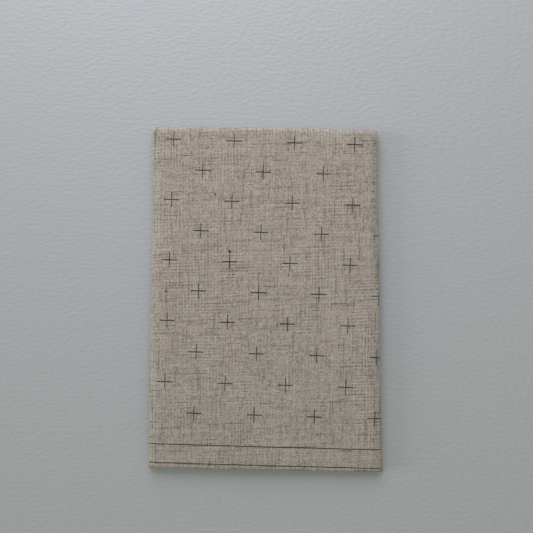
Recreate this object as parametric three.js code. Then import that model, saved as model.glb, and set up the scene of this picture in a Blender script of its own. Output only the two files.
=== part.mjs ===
// A length of cotton and linen sashiko cloth, folded into a flat pack.
// Each layer of the pack is three plies, because the cloth is first folded in
// thirds across its width. It is then folded in half twice along its length.
// X runs across the pack, Y along it and Z up, in millimetres. The origin is
// at the middle of the flat underside.

import * as THREE from 'three';

// Driving dimensions, in millimetres.
const LAYER_THICKNESS = 1.3; // three plies pressed together
const LAYER_GAP = 0.4; // air between one layer and the next
const EDGE_ROUNDING = LAYER_THICKNESS / 2; // of the folded long sides of a layer
const OUTER_FOLD_BULGE = 0.9; // depth of the outer fold over a half circle's
const PACK_HALF_WIDTH = 62;
const PACK_HALF_LENGTH = 91;

// How finely the solid is divided.
const SECTION_PITCH = 16; // spacing of the sections along a layer
const WIDTH_STRIPS = 10; // strips across the face of a layer
const EDGE_FACETS = 3; // facets round a long side of a layer
const OUTER_FOLD_FACETS = 9;
const TIGHT_FOLD_FACETS = 6;

// How the pack's thickness varies, as shares of its height.
const FOLD_PUFF = 0.05; // the double fold at the far end stands proud
const FOLD_PUFF_REACH = 55; // how far along the pack that rise dies away
const SIDE_PRESS = 0.05; // the long sides are pressed thinner
const CUT_END_PRESS = 0.04; // so is the end with the cut edges
const CUT_END_REACH = 30;

// Slow waves in the pack's thickness. `share` is a wave's height as a share
// of the pack's, `across` and `along` are its lengths along X and Y.
const WAVES = [
  { share: 0.016, across: 95, along: 150, phase: 0.6 },
  { share: 0.011, across: -62, along: 88, phase: 2.1 },
  { share: 0.006, across: 41, along: -57, phase: 4.0 },
];

// The four layers in the order in which the strip passes through them, each
// with its level in the stack. A row is a section of the strip: `along` is
// its place along Y, `left` and `right` are its long sides, `slant` is how
// far its right end lies ahead of its left one along Y, and `bow` is how far
// its middle lies ahead of its ends.
const LAYERS = [
  // The underside, from its cut edge to the outer fold.
  {
    level: 0,
    sections: [
      { along: -91.9, left: -63.2, right: 62.9, slant: -0.9, bow: 0.0 },
      { along: -83.0, left: -63.2, right: 62.4, slant: -0.9, bow: 0.0 },
      { along: -72.0, left: -63.0, right: 61.9, slant: -0.7, bow: 0.0 },
      { along: -50.0, left: -62.7, right: 61.1, slant: -0.5, bow: 0.0 },
      { along: -10.0, left: -62.3, right: 59.8, slant: -0.3, bow: 0.0 },
      { along: 40.0, left: -61.8, right: 58.1, slant: -0.2, bow: 0.2 },
      { along: 87.85, left: -62.0, right: 57.2, slant: -0.3, bow: 0.6 },
    ],
  },
  // The face, from the outer fold to the near one.
  {
    level: 3,
    sections: [
      { along: 87.85, left: -61.95, right: 57.15, slant: -0.3, bow: 0.6 },
      { along: 64.0, left: -61.75, right: 57.4, slant: -0.2, bow: 0.4 },
      { along: 40.0, left: -61.65, right: 58.15, slant: -0.1, bow: 0.2 },
      { along: 18.0, left: -61.85, right: 58.95, slant: 0.0, bow: 0.0 },
      { along: 0.0, left: -61.95, right: 59.3, slant: 0.0, bow: 0.0 },
      { along: -12.0, left: -62.3, right: 59.65, slant: 0.0, bow: 0.0 },
      { along: -30.0, left: -62.4, right: 59.95, slant: 0.0, bow: 0.0 },
      { along: -52.0, left: -62.6, right: 60.4, slant: -0.2, bow: -0.1 },
      { along: -76.0, left: -62.4, right: 60.9, slant: -0.6, bow: -0.1 },
      { along: -89.45, left: -62.4, right: 61.25, slant: -0.85, bow: -0.2 },
    ],
  },
  // The layer below the face, from the near fold to the inner one.
  {
    level: 2,
    sections: [
      { along: -89.45, left: -62.25, right: 61.05, slant: -0.85, bow: -0.2 },
      { along: -40.0, left: -62.1, right: 60.0, slant: 0.0, bow: 0.0 },
      { along: 15.0, left: -61.5, right: 58.8, slant: 0.2, bow: 0.0 },
      { along: 86.8, left: -61.3, right: 56.7, slant: -0.4, bow: 0.3 },
    ],
  },
  // The layer above the underside, from the inner fold to its cut edge.
  {
    level: 1,
    sections: [
      { along: 86.8, left: -61.2, right: 56.9, slant: -0.4, bow: 0.3 },
      { along: 30.0, left: -61.4, right: 58.3, slant: -0.2, bow: 0.0 },
      { along: -35.0, left: -62.1, right: 60.2, slant: -0.4, bow: 0.0 },
      { along: -75.0, left: -62.6, right: 61.5, slant: -0.7, bow: 0.0 },
      { along: -90.7, left: -62.9, right: 62.1, slant: -1.0, bow: -0.2 },
    ],
  },
];

const CLOTH = new THREE.MeshStandardMaterial({
  name: 'cotton_linen',
  color: 0x9a9286,
  roughness: 0.95,
  metalness: 0.0,
});

// The height of a layer's middle above the underside.
function levelHeight(level) {
  return LAYER_THICKNESS / 2 + level * (LAYER_THICKNESS + LAYER_GAP);
}

// A curve through one group of columns of a layer's rows.
function curveThrough(rows, columns) {
  const points = rows.map((row) => new THREE.Vector3(...columns.map((name) => row[name])));
  return new THREE.CatmullRomCurve3(points);
}

// Sections along one layer, heading from its first row to its last.
function layerSections(layer) {
  const rows = layer.sections;
  const sides = curveThrough(rows, ['left', 'right', 'along']);
  const ends = curveThrough(rows, ['slant', 'bow', 'along']);
  const last = rows.length - 1;
  const heading = Math.sign(rows[last].along - rows[0].along);
  const sections = [];
  for (let gap = 0; gap < last; gap += 1) {
    const length = Math.abs(rows[gap + 1].along - rows[gap].along);
    const steps = Math.max(1, Math.round(length / SECTION_PITCH));
    const count = gap === last - 1 ? steps + 1 : steps;
    for (let step = 0; step < count; step += 1) {
      const share = (gap + step / steps) / last;
      const side = sides.getPoint(share);
      const end = ends.getPoint(share);
      sections.push({
        left: side.x,
        right: side.y,
        along: side.z,
        slant: end.x,
        bow: end.y,
        height: levelHeight(layer.level),
        outward: new THREE.Vector2(0, heading > 0 ? -1 : 1),
      });
    }
  }
  return sections;
}

// Sections round the fold that joins the end of one layer to the start of the
// next. The fold turns the outer side of the cloth outwards or inwards.
function foldSections(from, to, facing) {
  const radius = Math.abs(to.height - from.height) / 2;
  const tight = radius < LAYER_THICKNESS;
  const steps = tight ? TIGHT_FOLD_FACETS : OUTER_FOLD_FACETS;
  const bulge = tight ? 1 : OUTER_FOLD_BULGE;
  const rise = Math.sign(to.height - from.height);
  const middle = (from.height + to.height) / 2;
  const sections = [];
  for (let step = 1; step < steps; step += 1) {
    const share = step / steps;
    const turn = Math.PI * share;
    const swing = Math.sin(turn);
    const lift = -Math.cos(turn) * rise;
    const outward = new THREE.Vector2(swing * facing, lift);
    const blend = (column) => THREE.MathUtils.lerp(from[column], to[column], share);
    sections.push({
      left: blend('left'),
      right: blend('right'),
      along: blend('along') + radius * bulge * swing * facing,
      slant: blend('slant'),
      bow: blend('bow'),
      height: middle + radius * lift,
      outward: outward.multiplyScalar(Math.sign(from.outward.y * -rise)),
    });
  }
  return sections;
}

// All sections of the strip, from one cut end to the other.
function stripSections() {
  const passes = LAYERS.map(layerSections);
  const strip = [];
  passes.forEach((pass, index) => {
    strip.push(...pass);
    const next = passes[index + 1];
    if (next) {
      const turning = pass[pass.length - 1];
      strip.push(...foldSections(turning, next[0], Math.sign(turning.along)));
    }
  });
  return strip;
}

// The outline of a section: how far each point lies across the strip and how
// far off its middle. It runs over the outer side and back along the inner.
function sectionOutline(section) {
  const half = LAYER_THICKNESS / 2;
  const left = section.left + EDGE_ROUNDING;
  const right = section.right - EDGE_ROUNDING;
  const outline = [];
  const addFace = (start, end, offset) => {
    for (let step = 0; step <= WIDTH_STRIPS; step += 1) {
      const across = THREE.MathUtils.lerp(start, end, step / WIDTH_STRIPS);
      outline.push({ across, offset });
    }
  };
  const addEdge = (across, direction) => {
    for (let step = 1; step < EDGE_FACETS; step += 1) {
      const turn = (Math.PI * step) / EDGE_FACETS;
      outline.push({
        across: across + direction * EDGE_ROUNDING * Math.sin(turn),
        offset: direction * half * Math.cos(turn),
      });
    }
  };
  addFace(left, right, half);
  addEdge(right, 1);
  addFace(right, left, -half);
  addEdge(left, -1);
  return outline;
}

// How much thicker or thinner the pack is at a place, as a factor.
function thicknessAt(x, y) {
  const { smoothstep } = THREE.MathUtils;
  const end = PACK_HALF_LENGTH;
  const fold = FOLD_PUFF * smoothstep(y, end - FOLD_PUFF_REACH, end);
  const cut = CUT_END_PRESS * smoothstep(-y, end - CUT_END_REACH, end);
  const side = SIDE_PRESS * (x / PACK_HALF_WIDTH) ** 4;
  const waves = WAVES.reduce((sum, wave) => {
    const angle = 2 * Math.PI * (x / wave.across + y / wave.along) + wave.phase;
    return sum + wave.share * Math.sin(angle);
  }, 0);
  return 1 + fold - cut - side + waves;
}

// The ring of points of one section, in the pack's own place.
function sectionRing(section) {
  const middle = (section.left + section.right) / 2;
  const halfWidth = (section.right - section.left) / 2;
  return sectionOutline(section).map(({ across, offset }) => {
    const share = (across - middle) / halfWidth;
    const shift = (section.slant * share) / 2 + section.bow * (1 - share * share);
    const y = section.along + shift + offset * section.outward.x;
    const z = section.height + offset * section.outward.y;
    return new THREE.Vector3(across, y, z * thicknessAt(across, y));
  });
}

// The folded strip as one closed body, with a flat cap on each cut end, set
// with the middle of its underside on the origin.
function clothGeometry() {
  const rings = stripSections().map(sectionRing);
  const size = rings[0].length;
  const positions = rings.flat().flatMap((point) => point.toArray());
  const faces = [];
  for (let ring = 0; ring < rings.length - 1; ring += 1) {
    for (let point = 0; point < size; point += 1) {
      const a = ring * size + point;
      const b = ring * size + ((point + 1) % size);
      faces.push(a, a + size, b);
      faces.push(b, a + size, b + size);
    }
  }
  const opposite = 2 * WIDTH_STRIPS + EDGE_FACETS;
  const addCap = (ring, atStart) => {
    const at = (point) => ring * size + ((point + size) % size);
    for (let point = -1; point <= WIDTH_STRIPS; point += 1) {
      const a = at(point);
      const b = at(point + 1);
      const c = at(opposite - point - 1);
      const d = at(opposite - point);
      faces.push(...(atStart ? [a, b, c, a, c, d] : [a, c, b, a, d, c]));
    }
  };
  addCap(0, true);
  addCap(rings.length - 1, false);
  const geometry = new THREE.BufferGeometry();
  geometry.setAttribute('position', new THREE.Float32BufferAttribute(positions, 3));
  geometry.setIndex(faces);
  geometry.computeBoundingBox();
  const middle = geometry.boundingBox.getCenter(new THREE.Vector3());
  return geometry.translate(-middle.x, -middle.y, 0);
}

const cloth = new THREE.Mesh(clothGeometry(), CLOTH);
cloth.name = 'cloth';

const fabric = new THREE.Group();
fabric.add(cloth);

export default fabric;
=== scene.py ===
import math
from types import SimpleNamespace

import bpy
import numpy as np
from mathutils import Matrix, Vector


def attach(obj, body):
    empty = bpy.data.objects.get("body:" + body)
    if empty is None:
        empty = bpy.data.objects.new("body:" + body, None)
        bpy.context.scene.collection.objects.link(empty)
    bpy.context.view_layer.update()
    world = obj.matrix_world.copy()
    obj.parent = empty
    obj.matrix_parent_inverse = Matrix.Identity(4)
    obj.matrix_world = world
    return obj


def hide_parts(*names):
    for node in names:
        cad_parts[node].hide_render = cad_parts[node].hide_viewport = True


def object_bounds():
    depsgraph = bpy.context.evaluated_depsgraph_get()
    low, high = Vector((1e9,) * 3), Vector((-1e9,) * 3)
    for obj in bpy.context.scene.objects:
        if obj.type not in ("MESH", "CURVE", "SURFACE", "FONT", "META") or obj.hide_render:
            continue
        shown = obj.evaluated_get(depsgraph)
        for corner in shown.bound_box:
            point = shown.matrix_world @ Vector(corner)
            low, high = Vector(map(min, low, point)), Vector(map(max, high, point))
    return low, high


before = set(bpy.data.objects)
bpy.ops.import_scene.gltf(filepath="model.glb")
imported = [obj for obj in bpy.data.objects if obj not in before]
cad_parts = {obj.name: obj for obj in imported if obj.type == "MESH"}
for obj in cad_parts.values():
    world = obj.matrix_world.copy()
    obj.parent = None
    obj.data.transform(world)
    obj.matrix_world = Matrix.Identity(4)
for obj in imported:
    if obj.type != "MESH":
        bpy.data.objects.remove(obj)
CAD_LOW, CAD_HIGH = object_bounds()

# A length of cotton and linen sashiko cloth, printed with small crosses, folded into a flat
# pack and laid on a pale board. The cloth is folded in thirds across its width, and then in
# half twice along its length, so each of the pack's four layers is three plies. Its far end,
# with the double fold, is at +Y.
# Names in capitals and table columns are in millimetres unless a comment says otherwise.
# The properties that a user changes are in metres, as Blender's own are.

bl_info = {
    "name": "Folded sashiko cloth",
    "version": (1, 0, 0),
    "blender": (4, 5, 0),
    "location": "3D View > Sidebar > Cloth",
    "description": "Folds a printed length of cotton and linen cloth and lights it on a board",
    "category": "Object",
}

MM = 0.001

# The stack: the thickness of a layer, which is three plies, and the air between two layers.
LAYER_THICKNESS = 1.3
LAYER_GAP = 0.4
OUTER_FOLD_BULGE = 0.9  # depth of the outer fold over a half circle's

# How finely the cloth is divided.
SECTION_PITCH = 3.6  # from one section to the next along a layer
OUTER_FOLD_STEPS = 16
TIGHT_FOLD_STEPS = 12
MIDDLE_STRIPS = 44  # across the middle third of the cloth
SIDE_STRIPS = 28  # across each of the two thirds folded behind it
SIDE_FOLD_STEPS = 8

# The four layers in the order in which the cloth passes through them, each with its level in
# the stack. A row is a section across the layer: its place along Y, its two long sides, how
# far its right end lies ahead of its left one, and how far its middle lies ahead of both.
COLUMNS = ("along", "left", "right", "slant", "bow")
UNDERSIDE, ABOVE_UNDERSIDE, BELOW_FACE, FACE = range(4)
LAYERS = (
    # The underside, from its cut edge to the outer fold.
    (UNDERSIDE, (
        (-91.9, -63.2, 62.9, -0.9, 0.0),
        (-83.0, -63.2, 62.4, -0.9, 0.0),
        (-72.0, -63.0, 61.9, -0.7, 0.0),
        (-50.0, -62.7, 61.1, -0.5, 0.0),
        (-10.0, -62.3, 59.8, -0.3, 0.0),
        (40.0, -61.8, 58.1, -0.2, 0.2),
        (87.85, -62.0, 57.2, -0.3, 0.6),
    )),
    # The face, from the outer fold to the near one.
    (FACE, (
        (87.85, -61.95, 57.15, -0.3, 0.6),
        (64.0, -61.75, 57.4, -0.2, 0.4),
        (40.0, -61.65, 58.15, -0.1, 0.2),
        (18.0, -61.85, 58.95, 0.0, 0.0),
        (0.0, -61.95, 59.3, 0.0, 0.0),
        (-12.0, -62.3, 59.65, 0.0, 0.0),
        (-30.0, -62.4, 59.95, 0.0, 0.0),
        (-52.0, -62.6, 60.4, -0.2, -0.1),
        (-76.0, -62.4, 60.9, -0.6, -0.1),
        (-89.45, -62.4, 61.25, -0.85, -0.2),
    )),
    # The layer below the face, from the near fold to the inner one.
    (BELOW_FACE, (
        (-89.45, -62.25, 61.05, -0.85, -0.2),
        (-40.0, -62.1, 60.0, 0.0, 0.0),
        (15.0, -61.5, 58.8, 0.2, 0.0),
        (86.8, -61.3, 56.7, -0.4, 0.3),
    )),
    # The layer above the underside, from the inner fold to its cut edge.
    (ABOVE_UNDERSIDE, (
        (86.8, -61.2, 56.9, -0.4, 0.3),
        (30.0, -61.4, 58.3, -0.2, 0.0),
        (-35.0, -62.1, 60.2, -0.4, 0.0),
        (-75.0, -62.6, 61.5, -0.7, 0.0),
        (-90.7, -62.9, 62.1, -1.0, -0.2),
    )),
)

# How the pack's thickness varies, as shares of its height.
PACK_HALF_WIDTH = 62.0
PACK_HALF_LENGTH = 91.0
FOLD_PUFF = 0.05  # the double fold stands proud
FOLD_PUFF_REACH = 55.0
SIDE_PRESS = 0.05  # the long sides are pressed thinner
SIDE_ROLL = 0.18  # and they roll over where they end
SIDE_ROLL_REACH = 4.5
CUT_END_PRESS = 0.04  # the end with the cut edges is pressed thinner too
CUT_END_REACH = 30.0
# Slow waves in it: a wave's height as a share of the pack's, its lengths along X and Y, and
# its phase in radians.
WAVES = (
    (0.016, 95.0, 150.0, 0.6),
    (0.011, -62.0, 88.0, 2.1),
    (0.006, 41.0, -57.0, 4.0),
)

# How far each third's cut edge slips past the next at the two cut ends, from the left third
# to the right one, and how far back along the layer that slip dies away.
CUT_SLIPS = {UNDERSIDE: (-0.7, 0.4, -0.2), ABOVE_UNDERSIDE: (0.3, -0.5, -0.9)}
NO_SLIPS = (0.0, 0.0, 0.0)
CUT_SLIP_REACH = 14.0

# Where the print lies on the face, from the middle of the pack: the middle of its square, and
# the turn of its rows and of its columns against X and Y, in degrees.
PRINT_MIDDLE = (-2.8, 83.3)
ROW_TURN = 1.16
COLUMN_TURN = 1.55
# How much the cloth gives towards the near fold, and how far from the print's middle it begins.
PRINT_GIVE = 0.015
GIVE_START = 80.0
CROSSES_EACH_WAY = 9  # rows and columns of half pitches on each side of the print's middle
FRAME_LINE = 160.5  # from the print's middle to the line round it
CUT_LINE = 170.3  # and to the line along which it is to be cut
LINE_TURN = 0.97  # the turn of the level ones of those lines against X, in degrees
PRINT_FADE = 0.06  # how far the edge of a printed line fades on either side
# The width of a cross's upright line and of its level one, as shares of the line width.
CROSS_WEIGHTS = (0.92, 1.13)
# How well the ink covers: wholly up to a tone between the darkest threads' 0 and the palest
# ones' 1, and from there less and less, down to a share on the palest.
COVER_START = 0.3
PALE_COVER = 0.8

# The weave. A share is a part of the whole range from the dark threads to the pale ones.
WEFT_TURN = 2.1  # the weft's turn against X, in degrees: its right end is the higher one
WANDER = 0.5  # how far the threads wander from their straight lines
WANDER_LENGTH = 45.0
THREAD_STEP = 5.37  # keeps the streaks of neighbouring threads apart in the noise they share
STREAK_STEP = 9.7  # and one kind of streaks from the next
MEAN_NOISE = 0.5  # the middle of what a noise gives
CHANCE_SHARE = 0.55  # chance differences from crossing to crossing
REED_SHARE = 0.6  # in patches, every third thread stands out a little
REED_THREADS = 3
REED_PATCH = 22.0
REED_LEVEL = 0.44  # the noise level that a patch begins at
MOTTLE_SHARE = 0.12  # slow differences over the whole cloth
MOTTLE_LENGTH = 20.0
GAP_SHADE_SHARE = 0.4  # painted shade: the gaps between the threads are darker than their round backs
MEAN_ROUNDNESS = 0.64  # a thread's mean height, where its middle's is 1
THREAD_RELIEF = 0.08  # how high the threads stand, in the shading alone
# The streaks of uneven yarn: which thread they are in, their length, their share, and the
# noise level that they begin at. A share under 0 is a dark streak, and a higher level makes
# the streaks rarer.
STREAKS = (
    ("weft", 8.0, 0.42, 0.0),
    ("weft", 40.0, 0.42, 0.0),
    ("weft", 16.0, -2.2, 0.59),
    ("warp", 6.0, 0.33, 0.0),
    ("warp", 40.0, 0.35, 0.0),
    ("warp", 14.0, -2.2, 0.58),
)

# Specks of bark. First the ones that are scattered: how far apart their places are, the share
# of these places that has one, their size, and how strongly they show. Then those seen on the
# face, with X and Y from the middle of the pack and the size. A speck fades out between two
# distances from its middle, which are shares of its size.
SPECK_SPACING = 7.0
SPECK_SHARE = 0.16
SPECK_SIZE = 0.4
SPECK_STRENGTH = 0.6
SPECK_FADE = (0.4, 0.8)
FLECK_FADE = (0.35, 0.65)
FLECKS = (
    (-28.5, 55.3, 0.95),
    (-16.1, 41.9, 0.65),
    (-20.6, 25.0, 1.45),
    (-54.1, 3.6, 0.95),
    (-1.3, 60.9, 0.7),
    (-10.1, 31.1, 0.7),
    (-18.3, 12.8, 0.8),
    (10.7, 13.0, 0.7),
)

# The ripples in the board's paint: their size along X, Y and Z, and their height.
RIPPLE_SIZE = (3.2, 1.7, 1.7)
RIPPLE_RELIEF = 0.22


def linear(hex_colour):
    """The linear colour of an sRGB hex value, as Blender's sockets take it."""
    parts = (int(hex_colour[i:i + 2], 16) / 255 for i in (1, 3, 5))
    return tuple(p / 12.92 if p <= 0.04045 else ((p + 0.055) / 1.055) ** 2.4 for p in parts)


class ClothSizes(bpy.types.PropertyGroup):
    """Sizes of the flat cloth, its threads and its print"""

    width: bpy.props.FloatProperty(
        name="Cut width", description="Width of the flat cloth, which is folded in thirds",
        default=0.354, min=0.34, max=0.356, unit="LENGTH")
    thickness: bpy.props.FloatProperty(
        name="Thickness", description="Thickness of one ply",
        default=0.00038, min=0.0002, max=0.0004, unit="LENGTH")
    thread_pitch: bpy.props.FloatProperty(
        name="Thread spacing", description="From one thread of the weave to the next",
        default=0.00056, min=0.0003, max=0.002, unit="LENGTH")
    cross_pitch: bpy.props.FloatProperty(
        name="Cross pitch", description="From one printed cross to the next in its row",
        default=0.032, min=0.01, max=0.1, unit="LENGTH")
    cross_size: bpy.props.FloatProperty(
        name="Cross size", description="A printed cross from tip to tip",
        default=0.0081, min=0.002, max=0.02, unit="LENGTH")
    line_width: bpy.props.FloatProperty(
        name="Line width", description="Width of a printed line",
        default=0.00052, min=0.0002, max=0.002, unit="LENGTH")


class ClothColours(bpy.types.PropertyGroup):
    """Colours of the cloth's threads and print"""

    flax: bpy.props.FloatVectorProperty(
        name="Flax", description="The cloth's middle colour",
        default=linear("#b1a79a"), min=0, max=1, subtype="COLOR")
    pale: bpy.props.FloatVectorProperty(
        name="Pale thread", description="The palest cotton threads",
        default=linear("#cdc3b6"), min=0, max=1, subtype="COLOR")
    # The dark colour is the darkest threads' own, and also the painted shade in the gaps
    # between the threads.
    dark: bpy.props.FloatVectorProperty(
        name="Dark thread", description="The darkest linen threads and the gaps between them",
        default=linear("#80776c"), min=0, max=1, subtype="COLOR")
    ink: bpy.props.FloatVectorProperty(
        name="Print", description="The ink of the printed lines",
        default=linear("#2f251c"), min=0, max=1, subtype="COLOR")
    fleck: bpy.props.FloatVectorProperty(
        name="Fleck", description="Specks of bark spun into the linen",
        default=linear("#261004"), min=0, max=1, subtype="COLOR")


class StageSettings(bpy.types.PropertyGroup):
    """The board, the lights and the camera"""

    board: bpy.props.FloatVectorProperty(
        name="Board", description="Colour of the board that the cloth lies on",
        default=linear("#b9bdbc"), min=0, max=1, subtype="COLOR")
    key_power: bpy.props.FloatProperty(
        name="Key light", description="Power of the large soft light",
        default=3.2, min=0, max=200, unit="POWER")
    side_strength: bpy.props.FloatProperty(
        name="Side light", description="Strength of the low soft light from the left",
        default=1.1, min=0, max=20)
    sky: bpy.props.FloatProperty(
        name="Fill", description="Brightness of the even light from all round",
        default=0.35, min=0, max=5)
    height: bpy.props.FloatProperty(
        name="Camera height", description="From the cloth's face to the camera",
        default=0.392, min=0.1, max=2, unit="LENGTH")


def node(tree, kind, inputs=None, **settings):
    """Adds a node to a tree, sets its properties, and fills its inputs, each with a value or
    with another node's output. Returns its first output that is switched on, or the node
    itself where it has none."""
    made = tree.nodes.new(kind)
    for name, value in settings.items():
        setattr(made, name, value)
    for key, value in (inputs or {}).items():
        if isinstance(value, bpy.types.NodeSocket):
            tree.links.new(value, made.inputs[key])
        else:
            made.inputs[key].default_value = value
    return next((out for out in made.outputs if out.enabled), made)


def through_rows(knots, values, places):
    """A smooth curve through a table's column, read at many places at once."""
    slopes = np.gradient(values, knots)
    gap = np.clip(np.searchsorted(knots, places) - 1, 0, len(knots) - 2)
    width = knots[gap + 1] - knots[gap]
    share = (places - knots[gap]) / width
    start, end = values[gap], values[gap + 1]
    rise, fall = slopes[gap] * width, slopes[gap + 1] * width
    bend = (rise + fall + 2 * (start - end)) * share + (3 * (end - start) - 2 * rise - fall)
    return start + share * (rise + share * bend)


def layer_sections(level, rows, cut_slips):
    """The sections along one layer of the pack, from its first row to its last."""
    table = np.array(rows)
    if table[0, 0] > table[-1, 0]:
        heading, table = -1, table[::-1]
    else:
        heading = 1
    knots = table[:, 0]
    steps = round((knots[-1] - knots[0]) / SECTION_PITCH)
    places = np.linspace(knots[0], knots[-1], steps + 1)
    columns = [through_rows(knots, table[:, i], places) for i in range(1, len(COLUMNS))]
    cut_end = np.clip(1 - (places - knots[0]) / CUT_SLIP_REACH, 0, 1) ** 2
    height = LAYER_THICKNESS / 2 + level * (LAYER_THICKNESS + LAYER_GAP)
    sections = [
        SimpleNamespace(
            along=along, left=left, right=right, slant=slant, bow=bow, height=height,
            outward=(0.0, -heading), heading=heading,
            slips=[-slip * share for slip in cut_slips],
        )
        for along, left, right, slant, bow, share in zip(places, *columns, cut_end)
    ]
    return sections[::heading]


def fold_sections(start, end):
    """The sections round the fold that joins the end of one layer to the start of the next."""
    radius = abs(end.height - start.height) / 2
    tight = radius < LAYER_THICKNESS
    steps = TIGHT_FOLD_STEPS if tight else OUTER_FOLD_STEPS
    bulge = 1.0 if tight else OUTER_FOLD_BULGE
    facing = math.copysign(1, start.along)
    rise = math.copysign(1, end.height - start.height)
    outside = -start.outward[1] * rise
    sections = []
    for step in range(1, steps):
        share = step / steps
        swing = math.sin(math.pi * share)
        lift = -math.cos(math.pi * share) * rise
        mixed = {
            name: getattr(start, name) * (1 - share) + getattr(end, name) * share
            for name in (*COLUMNS, "heading")
        }
        mixed["along"] += radius * bulge * swing * facing
        height = (start.height + end.height) / 2 + radius * lift
        sections.append(SimpleNamespace(
            **mixed, height=height, outward=(swing * facing * outside, lift * outside),
            slips=NO_SLIPS))
    return sections


def all_sections():
    """Every section of the cloth from one cut end to the other, with its place on the flat
    cloth, counted from the first cut end."""
    passes = [layer_sections(level, rows, CUT_SLIPS.get(level, NO_SLIPS))
              for level, rows in LAYERS]
    sections = list(passes[0])
    for layer in passes[1:]:
        sections += fold_sections(sections[-1], layer[0]) + layer
    flat = 0.0
    for before, section in zip([sections[0]] + sections, sections):
        flat += math.hypot(section.along - before.along, section.height - before.height)
        section.flat = flat
    return sections


def across(section, width, thickness):
    """The cloth's places across one section, from its left cut edge to its right one. Returns
    their X, how far each lies off the layer's middle towards its outer side, their places on
    the flat cloth, and the third that each belongs to, as a number from 0 to 2."""
    # From one ply's middle to the next. The left third is folded in first, so it lies between
    # the other two.
    ply = (LAYER_THICKNESS - thickness) / 2
    left_radius, right_radius = ply / 2, ply
    left = section.left + thickness / 2 + left_radius
    right = section.right - thickness / 2 - right_radius
    left_flat = left - math.pi * left_radius
    right_flat = right + math.pi * right_radius
    left_cut = PRINT_MIDDLE[0] - width / 2
    right_cut = PRINT_MIDDLE[0] + width / 2

    behind = np.linspace(left_cut, left_flat, SIDE_STRIPS + 1)
    turn = np.linspace(math.pi, 0, SIDE_FOLD_STEPS + 1)[1:-1]
    middle = np.linspace(left, right, MIDDLE_STRIPS + 1)
    back_turn = np.linspace(0, math.pi, SIDE_FOLD_STEPS + 1)[1:-1]
    under = np.linspace(right_flat, right_cut, SIDE_STRIPS + 1)
    x = np.concatenate([
        left + left_flat - behind,
        left - left_radius * np.sin(turn),
        middle,
        right + right_radius * np.sin(back_turn),
        right + right_flat - under,
    ])
    offset = np.concatenate([
        np.zeros_like(behind),
        left_radius * (1 + np.cos(turn)),
        np.full_like(middle, ply),
        right_radius * np.cos(back_turn),
        np.full_like(under, -ply),
    ])
    flat = np.concatenate([
        behind,
        left - left_radius * turn,
        middle,
        right + right_radius * back_turn,
        under,
    ])
    third = np.concatenate([
        np.zeros_like(behind),
        1 - turn / math.pi,
        np.ones_like(middle),
        1 + back_turn / math.pi,
        np.full_like(under, 2),
    ])
    return x, offset, flat, third


def thickness_at(x, y):
    """How much thicker or thinner the pack is at a place, as a factor."""
    def eased(value, start, end):
        share = np.clip((value - start) / (end - start), 0, 1)
        return share * share * (3 - 2 * share)

    end = PACK_HALF_LENGTH
    fold = FOLD_PUFF * eased(y, end - FOLD_PUFF_REACH, end)
    cut = CUT_END_PRESS * eased(-y, end - CUT_END_REACH, end)
    side = SIDE_PRESS * (x / PACK_HALF_WIDTH) ** 4
    waves = sum(
        height * np.sin(2 * math.pi * (x / wide + y / long) + phase)
        for height, wide, long, phase in WAVES)
    return 1 + fold - cut - side + waves


def side_roll(share, section):
    """How far the layers roll over at a place near a long side, as a share of the pack's
    height. The place's own share is -1 at the left side and 1 at the right one."""
    from_side = (1 - np.abs(share)) * (section.right - section.left) / 2
    return SIDE_ROLL * np.clip(1 - from_side / SIDE_ROLL_REACH, 0, 1) ** 2


def folded_cloth(width, thickness):
    """The folded cloth as two grids with a row for each section: places in the pack, and
    places on the flat cloth. Both are in millimetres."""
    places, flats = [], []
    for section in all_sections():
        x, offset, flat, third = across(section, width, thickness)
        share = 2 * (x - section.left) / (section.right - section.left) - 1
        slip = np.interp(third, range(3), section.slips)
        shift = section.slant * share / 2 + section.bow * (1 - share ** 2) + slip
        y = section.along + shift + offset * section.outward[0]
        factor = thickness_at(x, y) - side_roll(share, section)
        z = (section.height + offset * section.outward[1]) * factor
        places.append(np.stack([x, y, z], axis=1))
        flats.append(np.stack([flat, section.flat + shift * section.heading], axis=1))
    return np.array(places), np.array(flats)


def face_start():
    """The flat cloth's place along its length where the face begins, and that row's Y."""
    face = next(rows for level, rows in LAYERS if level == FACE)
    sections = all_sections()
    top = max(section.height for section in sections)
    first = next(section for section in sections if section.height == top)
    return first.flat, face[0][0]


def add_piece(name, mesh_object):
    """Names a finished piece and sets it on the frame's body."""
    mesh_object.name = name
    mesh_object.data.name = name
    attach(mesh_object, "root")


def flat_places(tree):
    """Places on the flat cloth, in millimetres from the middle of its print."""
    start, along = face_start()
    middle = (PRINT_MIDDLE[0], start + along - PRINT_MIDDLE[1], 0.0)
    flat = node(tree, "ShaderNodeUVMap", uv_map="flat_cloth")
    flat = node(tree, "ShaderNodeVectorMath", {0: flat, 3: 1 / MM}, operation="SCALE")
    return node(tree, "ShaderNodeVectorMath", {0: flat, 1: middle}, operation="SUBTRACT")


def thread_places(tree, flat):
    """Places across the warp threads and across the weft ones. The warp runs along the cloth,
    and the weft a little out of square with it. Both wander a little."""
    wander = node(tree, "ShaderNodeVectorMath", {0: flat, 3: 1 / WANDER_LENGTH},
                  operation="SCALE")
    wander = node(tree, "ShaderNodeTexNoise", {"Vector": wander, "Scale": 1.0, "Detail": 1.0})
    wander = wander.node.outputs["Color"]
    threads = node(tree, "ShaderNodeVectorMath", {
        0: wander, 1: (WANDER, WANDER, 0), 2: flat}, operation="MULTIPLY_ADD")
    weft_skew = math.tan(math.radians(WEFT_TURN))
    across_weft = node(tree, "ShaderNodeVectorMath", {0: threads, 1: (weft_skew, 1, 0)},
                       operation="DOT_PRODUCT").node.outputs["Value"]
    across_warp = node(tree, "ShaderNodeSeparateXYZ", {0: threads})
    return across_warp, across_weft


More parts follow.
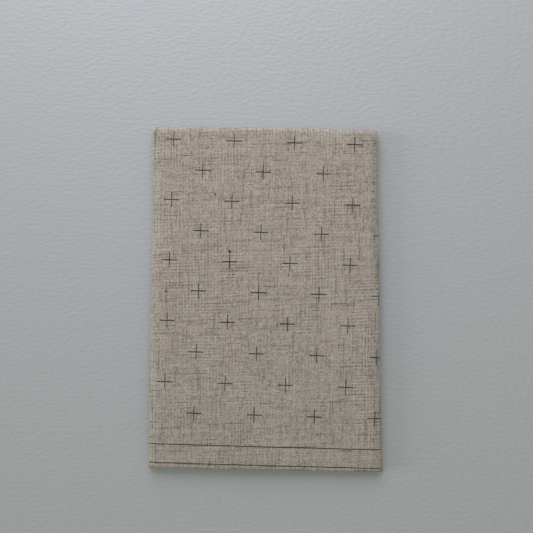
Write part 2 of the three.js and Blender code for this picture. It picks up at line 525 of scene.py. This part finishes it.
def yarn_streaks(tree, across_warp, across_weft, numbers):
    """The tone of uneven yarn: every thread has its own streaks, along its own length."""
    along = {
        "weft": node(tree, "ShaderNodeCombineXYZ", {0: across_warp, 1: numbers[1]}),
        "warp": node(tree, "ShaderNodeCombineXYZ", {0: across_weft, 1: numbers[0]}),
    }
    tone = 0.0
    for kind, (yarn, length, share, level) in enumerate(STREAKS):
        place = node(tree, "ShaderNodeVectorMath", {
            0: along[yarn], 1: (1 / length, THREAD_STEP, 0), 2: (0, 0, STREAK_STEP * kind)},
            operation="MULTIPLY_ADD")
        noise = node(tree, "ShaderNodeTexNoise", {"Vector": place, "Scale": 1.0, "Detail": 1.0})
        noise = node(tree, "ShaderNodeMath", {0: noise, 1: level}, operation="MAXIMUM")
        centred = node(tree, "ShaderNodeMath", {0: noise, 1: max(level, MEAN_NOISE)},
                       operation="SUBTRACT")
        tone = node(tree, "ShaderNodeMath", {0: centred, 1: share, 2: tone},
                    operation="MULTIPLY_ADD")
    return tone


def weave(tree, flat, pitch):
    """The weave's tone, which is 0 for the cloth's middle colour and holds painted shade in the
    gaps between the threads, and its relief.
    """
    across_warp, across_weft = thread_places(tree, flat)
    threads = node(tree, "ShaderNodeCombineXYZ", {0: across_warp, 1: across_weft})

    # Each crossing of two threads is a cell. The thread on top changes from cell to cell.
    cells = node(tree, "ShaderNodeVectorMath", {0: threads, 3: 1 / pitch}, operation="SCALE")
    cell = node(tree, "ShaderNodeVectorMath", {0: cells}, operation="FLOOR")
    numbers = node(tree, "ShaderNodeSeparateXYZ", {0: cell}).node.outputs
    turn = node(tree, "ShaderNodeMath", {0: numbers[0], 1: numbers[1]}, operation="ADD")
    weft_on_top = node(tree, "ShaderNodeMath", {0: turn, 1: 1.0}, operation="PINGPONG")
    tone = yarn_streaks(tree, across_warp, across_weft, numbers)

    # Chance differences from crossing to crossing, and slow ones over the whole cloth.
    chance = node(tree, "ShaderNodeTexWhiteNoise", {"Vector": cell}, noise_dimensions="3D")
    chance = node(tree, "ShaderNodeMath", {0: chance, 1: MEAN_NOISE}, operation="SUBTRACT")
    tone = node(tree, "ShaderNodeMath", {0: chance, 1: CHANCE_SHARE, 2: tone},
                operation="MULTIPLY_ADD")
    slow = node(tree, "ShaderNodeVectorMath", {0: threads, 3: 1 / MOTTLE_LENGTH},
                operation="SCALE")
    slow = node(tree, "ShaderNodeTexNoise", {"Vector": slow, "Scale": 1.0, "Detail": 2.0})
    slow = node(tree, "ShaderNodeMath", {0: slow, 1: MEAN_NOISE}, operation="SUBTRACT")
    tone = node(tree, "ShaderNodeMath", {0: slow, 1: MOTTLE_SHARE, 2: tone},
                operation="MULTIPLY_ADD")

    # Reed marks: in patches, every third thread of one or of both sets stands out a little.
    patches = node(tree, "ShaderNodeVectorMath", {0: threads, 3: 1 / REED_PATCH},
                   operation="SCALE")
    patches = node(tree, "ShaderNodeTexNoise", {"Vector": patches, "Scale": 1.0, "Detail": 1.0})
    patches = node(tree, "ShaderNodeVectorMath", {
        0: patches.node.outputs["Color"], 1: (REED_LEVEL,) * 3}, operation="SUBTRACT")
    patches = node(tree, "ShaderNodeVectorMath", {0: patches, 1: (0, 0, 0)},
                   operation="MAXIMUM")
    reed = node(tree, "ShaderNodeVectorMath", {0: cells, 3: math.tau / REED_THREADS},
                operation="SCALE")
    reed = node(tree, "ShaderNodeVectorMath", {0: reed}, operation="SINE")
    reed = node(tree, "ShaderNodeVectorMath", {0: reed, 1: patches},
                operation="DOT_PRODUCT").node.outputs["Value"]
    tone = node(tree, "ShaderNodeMath", {0: reed, 1: REED_SHARE, 2: tone},
                operation="MULTIPLY_ADD")

    # The thread on top is round: it's highest in its middle and dips under its neighbours.
    within = node(tree, "ShaderNodeVectorMath", {0: cells, 3: math.pi}, operation="SCALE")
    within = node(tree, "ShaderNodeVectorMath", {0: within}, operation="SINE")
    within = node(tree, "ShaderNodeVectorMath", {0: within}, operation="ABSOLUTE")
    within = node(tree, "ShaderNodeSeparateXYZ", {0: within}).node.outputs
    roundness = node(tree, "ShaderNodeMix", {0: weft_on_top, 2: within[0], 3: within[1]})
    dip = node(tree, "ShaderNodeMath", {0: within[0], 1: within[1]}, operation="MULTIPLY")
    relief = node(tree, "ShaderNodeMath", {0: roundness, 1: dip}, operation="ADD")
    # Painted shade: the tone darkens where the thread on top curves down to its edges and into
    # the gaps.
    gap = node(tree, "ShaderNodeMath", {0: roundness, 1: MEAN_ROUNDNESS}, operation="SUBTRACT")
    tone = node(tree, "ShaderNodeMath", {0: gap, 1: GAP_SHADE_SHARE, 2: tone},
                operation="MULTIPLY_ADD")
    return tone, relief


def print_mask(tree, flat, sizes):
    """1 where the cloth is printed, and 0 elsewhere: crosses at every other point of a grid of
    half pitches, and the two lines round them."""
    pitch = sizes.cross_pitch / MM
    half_line = sizes.line_width / MM / 2

    def print_places(level_turn):
        """Places on the print, along its level lines and its upright ones."""
        turns = (math.radians(level_turn), math.radians(COLUMN_TURN))
        axes = Matrix(((math.cos(turns[0]), -math.sin(turns[1])),
                       (math.sin(turns[0]), math.cos(turns[1])))).inverted()
        parts = [
            node(tree, "ShaderNodeVectorMath", {0: flat, 1: (*axis, 0)},
                 operation="DOT_PRODUCT").node.outputs["Value"]
            for axis in axes]

        # Where the cloth has given, a place on the print lies nearer than one on the cloth.
        past = node(tree, "ShaderNodeMath", {0: parts[1], 1: GIVE_START}, operation="SUBTRACT")
        past = node(tree, "ShaderNodeMath", {0: past, 1: 0.0}, operation="MAXIMUM")
        length = node(tree, "ShaderNodeMath", {0: past, 1: -PRINT_GIVE, 2: parts[1]},
                      operation="MULTIPLY_ADD")
        return node(tree, "ShaderNodeCombineXYZ", {0: parts[0], 1: length})

    def inside(value, limit):
        """1 where a value is under a limit, with a soft edge."""
        return node(tree, "ShaderNodeMapRange", {
            "Value": value, "From Min": limit - PRINT_FADE, "From Max": limit + PRINT_FADE,
            "To Min": 1.0, "To Max": 0.0})

    def off_axes(vector):
        """How far a place lies from the upright axis and from the level one."""
        size = node(tree, "ShaderNodeVectorMath", {0: vector}, operation="ABSOLUTE")
        return node(tree, "ShaderNodeSeparateXYZ", {0: size}).node.outputs[:2]

    # The crosses, in two grids of whole pitches.
    grid = print_places(ROW_TURN)
    mask = 0.0
    for offset in ((pitch / 2, 0.0, 0.0), (0.0, pitch / 2, 0.0)):
        moved = node(tree, "ShaderNodeVectorMath", {0: grid, 1: offset}, operation="SUBTRACT")
        around = node(tree, "ShaderNodeVectorMath", {
            0: moved, 1: (pitch / 2,) * 3, 2: (-pitch / 2,) * 3}, operation="WRAP")
        from_axes = off_axes(around)
        for aside, reach, weight in zip(from_axes, reversed(from_axes), CROSS_WEIGHTS):
            arm = node(tree, "ShaderNodeMath", {
                0: inside(aside, half_line * weight),
                1: inside(reach, sizes.cross_size / MM / 2)}, operation="MULTIPLY")
            mask = node(tree, "ShaderNodeMath", {0: arm, 1: mask}, operation="MAXIMUM")

    # The grid stops half a row past the last crosses. The two lines are squares round it.
    aside, along = off_axes(print_places(LINE_TURN))
    from_middle = node(tree, "ShaderNodeMath", {0: aside, 1: along}, operation="MAXIMUM")
    grid_end = (CROSSES_EACH_WAY + 0.5) * pitch / 2
    mask = node(tree, "ShaderNodeMath", {0: mask, 1: inside(from_middle, grid_end)},
                operation="MULTIPLY")
    for line in (FRAME_LINE, CUT_LINE):
        off_line = node(tree, "ShaderNodeMath", {0: from_middle, 1: line}, operation="SUBTRACT")
        off_line = node(tree, "ShaderNodeMath", {0: off_line}, operation="ABSOLUTE")
        mask = node(tree, "ShaderNodeMath", {0: inside(off_line, half_line), 1: mask},
                    operation="MAXIMUM")
    return mask


def speck_mask(tree, flat):
    """How strongly a speck of bark shows at a place: the specks seen on the face, and a few
    fainter ones all over."""
    cells = node(tree, "ShaderNodeVectorMath", {0: flat, 3: 1 / SPECK_SPACING},
                 operation="SCALE")
    cells = node(tree, "ShaderNodeTexVoronoi", {"Vector": cells, "Scale": 1.0}).node
    rare = node(tree, "ShaderNodeSeparateColor", {0: cells.outputs["Color"]})
    rare = node(tree, "ShaderNodeMath", {0: rare, 1: 1 - SPECK_SHARE}, operation="GREATER_THAN")
    speck = SPECK_SIZE / SPECK_SPACING
    specks = node(tree, "ShaderNodeMapRange", {
        "Value": cells.outputs["Distance"], "From Min": SPECK_FADE[0] * speck,
        "From Max": SPECK_FADE[1] * speck, "To Min": SPECK_STRENGTH, "To Max": 0.0})
    mask = node(tree, "ShaderNodeMath", {0: specks, 1: rare}, operation="MULTIPLY")

    # The face runs towards the near end, so a place on the flat cloth rises as Y falls.
    for x, y, size in FLECKS:
        place = (x - PRINT_MIDDLE[0], PRINT_MIDDLE[1] - y, 0)
        distance = node(tree, "ShaderNodeVectorMath", {0: flat, 1: place},
                        operation="DISTANCE").node.outputs["Value"]
        fleck = node(tree, "ShaderNodeMapRange", {
            "Value": distance, "From Min": FLECK_FADE[0] * size,
            "From Max": FLECK_FADE[1] * size, "To Min": 1.0, "To Max": 0.0})
        mask = node(tree, "ShaderNodeMath", {0: fleck, 1: mask}, operation="MAXIMUM")
    return mask


def woven_cotton_linen(sizes, colours):
    """Unbleached cotton and linen, plain woven from threads of uneven thickness. The eye sees
    fine streaks along the weft and the warp, single threads that run darker for a while,
    patches where every third thread stands out, a few dark specks of bark, no shine, and thin
    printed lines that the weave breaks up a little."""
    material = bpy.data.materials.new("woven_cotton_linen")
    material.use_nodes = True
    tree = material.node_tree
    tree.nodes.clear()
    flat = flat_places(tree)
    tone, relief = weave(tree, flat, sizes.thread_pitch / MM)

    # The cloth's middle colour lies halfway along the ramp from the dark threads to the pale.
    colour_at = node(tree, "ShaderNodeMath", {0: tone, 1: 0.5}, operation="ADD", use_clamp=True)
    ramp = node(tree, "ShaderNodeValToRGB", {0: colour_at})
    stops = ramp.node.color_ramp.elements
    stops[0].color = (*colours.dark, 1)
    stops[1].color = (*colours.pale, 1)
    stops.new(0.5).color = (*colours.flax, 1)

    cover = node(tree, "ShaderNodeMapRange", {
        "Value": colour_at, "From Min": COVER_START, "From Max": 1.0, "To Min": 1.0,
        "To Max": PALE_COVER})
    inked = node(tree, "ShaderNodeMath", {0: print_mask(tree, flat, sizes), 1: cover},
                 operation="MULTIPLY")
    printed = node(tree, "ShaderNodeMix", {
        0: inked, 6: ramp, 7: (*colours.ink, 1)}, data_type="RGBA")
    colour = node(tree, "ShaderNodeMix", {
        0: speck_mask(tree, flat), 6: printed, 7: (*colours.fleck, 1)}, data_type="RGBA")

    bump = node(tree, "ShaderNodeBump", {
        "Strength": 0.5, "Distance": THREAD_RELIEF * MM, "Height": relief})
    shader = node(tree, "ShaderNodeBsdfPrincipled", {
        "Base Color": colour, "Normal": bump, "Roughness": 0.92, "IOR": 1.45,
        "Specular IOR Level": 0.25, "Sheen Weight": 0.12, "Sheen Roughness": 0.6})
    node(tree, "ShaderNodeOutputMaterial", {"Surface": shader})
    return material


def painted_board(colour):
    """A board with satin paint: even and pale, with a soft sheen towards the light and the low
    ripples that a roller leaves. They are longer from side to side."""
    material = bpy.data.materials.new("satin_painted_board")
    material.use_nodes = True
    tree = material.node_tree
    tree.nodes.clear()
    place = node(tree, "ShaderNodeTexCoord").node.outputs["Object"]
    place = node(tree, "ShaderNodeVectorMath", {
        0: place, 1: [1 / (size * MM) for size in RIPPLE_SIZE]}, operation="MULTIPLY")
    ripples = node(tree, "ShaderNodeTexNoise", {"Vector": place, "Scale": 1.0, "Detail": 1.0})
    bump = node(tree, "ShaderNodeBump", {
        "Strength": 1.0, "Distance": RIPPLE_RELIEF * MM, "Height": ripples})
    shader = node(tree, "ShaderNodeBsdfPrincipled", {
        "Base Color": (*colour, 1), "Normal": bump, "Roughness": 0.5,
        "Specular IOR Level": 0.6})
    node(tree, "ShaderNodeOutputMaterial", {"Surface": shader})
    return material


class CLOTH_OT_fold(bpy.types.Operator):
    """Folds the flat printed cloth into its pack"""

    bl_idname = "cloth.fold"
    bl_label = "Fold the cloth"

    CREASE_ANGLE = 50.0  # an edge sharper than this, in degrees, isn't smoothed

    def execute(self, context):
        sizes = context.scene.cloth_sizes
        thickness = sizes.thickness / MM
        places, flats = folded_cloth(sizes.width / MM, thickness)
        rows, columns = places.shape[:2]

        bpy.ops.object.select_all(action="DESELECT")
        bpy.ops.mesh.primitive_grid_add(
            x_subdivisions=columns - 1, y_subdivisions=rows - 1, size=1, calc_uvs=True)
        cloth = context.object
        mesh = cloth.data
        if len(mesh.vertices) != rows * columns:
            raise RuntimeError("the flat grid doesn't have the cloth's rows and columns")
        at = np.zeros((rows * columns, 3), np.float32)
        mesh.vertices.foreach_get("co", at.ravel())
        column = np.rint((at[:, 0] + 0.5) * (columns - 1)).astype(int)
        row = np.rint((at[:, 1] + 0.5) * (rows - 1)).astype(int)
        mesh.vertices.foreach_set("co", (places[row, column] * MM).astype(np.float32).ravel())

        corner = np.zeros(len(mesh.loops), np.int32)
        mesh.loops.foreach_get("vertex_index", corner)
        flat = (flats[row, column] * MM).astype(np.float32)[corner]
        mesh.uv_layers[0].name = "flat_cloth"
        mesh.uv_layers[0].uv.foreach_set("vector", flat.ravel())

        bpy.ops.object.mode_set(mode="EDIT")
        bpy.ops.mesh.select_all(action="SELECT")
        bpy.ops.mesh.flip_normals()
        bpy.ops.object.mode_set(mode="OBJECT")
        solidify = cloth.modifiers.new("ply", "SOLIDIFY")
        solidify.thickness = sizes.thickness
        solidify.offset = 0.0
        solidify.use_even_offset = True
        bpy.ops.object.modifier_apply(modifier=solidify.name)
        bpy.ops.object.shade_smooth_by_angle(angle=math.radians(self.CREASE_ANGLE))

        # The two long sides lie evenly within the frame's, and the far fold at its end.
        low = np.min([point.co for point in mesh.vertices], axis=0)
        high = np.max([point.co for point in mesh.vertices], axis=0)
        mesh.transform(Matrix.Translation((
            (CAD_LOW.x + CAD_HIGH.x - low[0] - high[0]) / 2,
            CAD_HIGH.y - high[1],
            CAD_LOW.z - low[2])))

        mesh.materials.append(woven_cotton_linen(sizes, context.scene.cloth_colours))
        add_piece("sashiko_cloth", cloth)
        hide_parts("cloth")
        flat_length = max(section.flat for section in all_sections()) * MM
        return {"FINISHED"}


class CLOTH_OT_stage(bpy.types.Operator):
    """Lays out the board, the lights and the camera"""

    bl_idname = "cloth.stage"
    bl_label = "Set the stage"

    # The camera looks straight down. The point under it, from the middle of the pack, and how
    # far the picture's upright lies off the pack's length, in degrees.
    VIEW_MIDDLE = (-0.8, 17.7)
    VIEW_TURN = 0.6
    PICTURE_WIDTH = 282.5  # the width of the picture at the height of the cloth's face
    SENSOR_WIDTH = 36.0
    SIGHT = (10.0, 10000.0)  # the nearest and the farthest that the camera sees

    # The large soft light, from the middle of the pack. The lights' colours are linear.
    KEY_PLACE = (-95.0, 520.0, 400.0)
    KEY_SIZE = 600.0
    KEY_COLOUR = (0.9, 0.87, 1.02)
    # The low soft light from far off: the side it comes from, and its spread in degrees.
    SIDE_PLACE = (-1500.0, 0.0, 350.0)
    SIDE_SPREAD = 22.0
    ROOM_COLOUR = (0.965, 1.0, 0.9)  # of the even light from all round
    BOARD_SIZE = 3000.0

    def execute(self, context):
        stage = context.scene.cloth_stage
        bpy.ops.object.select_all(action="DESELECT")
        bpy.ops.mesh.primitive_plane_add(size=self.BOARD_SIZE * MM, location=(0, 0, 0))
        board = context.object
        board.name = "board"
        board.data.materials.append(painted_board(stage.board))

        face = CAD_HIGH.z
        place = Vector((*self.VIEW_MIDDLE, 0)) * MM + Vector((0, 0, face + stage.height))
        bpy.ops.object.camera_add(
            location=place, rotation=(0, 0, math.radians(self.VIEW_TURN)))
        camera = context.object
        camera.name = "camera"
        camera.data.sensor_width = self.SENSOR_WIDTH
        camera.data.lens = camera.data.sensor_width * stage.height / (self.PICTURE_WIDTH * MM)
        camera.data.clip_start = self.SIGHT[0] * MM
        camera.data.clip_end = self.SIGHT[1] * MM
        context.scene.camera = camera

        key_place = Vector(self.KEY_PLACE) * MM
        bpy.ops.object.light_add(type="AREA", location=key_place)
        key = context.object
        key.name = "key_light"
        key.data.shape = "SQUARE"
        key.data.size = self.KEY_SIZE * MM
        key.data.energy = stage.key_power
        key.data.color = self.KEY_COLOUR
        key.rotation_euler = key_place.to_track_quat("Z", "Y").to_euler()

        side_place = Vector(self.SIDE_PLACE) * MM
        bpy.ops.object.light_add(type="SUN", location=side_place)
        side = context.object
        side.name = "side_light"
        side.data.energy = stage.side_strength
        side.data.angle = math.radians(self.SIDE_SPREAD)
        side.visible_glossy = False  # it's so low that the board would glare
        side.rotation_euler = side_place.to_track_quat("Z", "Y").to_euler()

        world = bpy.data.worlds.new("room")
        world.use_nodes = True
        context.scene.world = world
        background = next(n for n in world.node_tree.nodes if n.type == "BACKGROUND")
        background.inputs["Color"].default_value = (*self.ROOM_COLOUR, 1)
        background.inputs["Strength"].default_value = stage.sky
        context.scene.view_settings.view_transform = "Standard"
        return {"FINISHED"}


class CLOTH_PT_panel(bpy.types.Panel):
    """The cloth's sizes and colours, with a button for each step"""

    bl_label = "Folded cloth"
    bl_idname = "CLOTH_PT_panel"
    bl_space_type = "VIEW_3D"
    bl_region_type = "UI"
    bl_category = "Cloth"

    def draw(self, context):
        scene = context.scene
        for group, operator in ((scene.cloth_sizes, CLOTH_OT_fold), (scene.cloth_colours, None),
                                (scene.cloth_stage, CLOTH_OT_stage)):
            box = self.layout.box()
            for name in group.__annotations__:
                box.prop(group, name)
            if operator:
                box.operator(operator.bl_idname)


CLASSES = (ClothSizes, ClothColours, StageSettings, CLOTH_OT_fold, CLOTH_OT_stage,
           CLOTH_PT_panel)


def register():
    for item in CLASSES:
        bpy.utils.register_class(item)
    bpy.types.Scene.cloth_sizes = bpy.props.PointerProperty(type=ClothSizes)
    bpy.types.Scene.cloth_colours = bpy.props.PointerProperty(type=ClothColours)
    bpy.types.Scene.cloth_stage = bpy.props.PointerProperty(type=StageSettings)


def unregister():
    del bpy.types.Scene.cloth_stage
    del bpy.types.Scene.cloth_colours
    del bpy.types.Scene.cloth_sizes
    for item in reversed(CLASSES):
        bpy.utils.unregister_class(item)


def main():
    """Makes the cloth and its stage."""
    register()
    bpy.ops.cloth.fold()
    bpy.ops.cloth.stage()


if __name__ == "__main__":
    main()
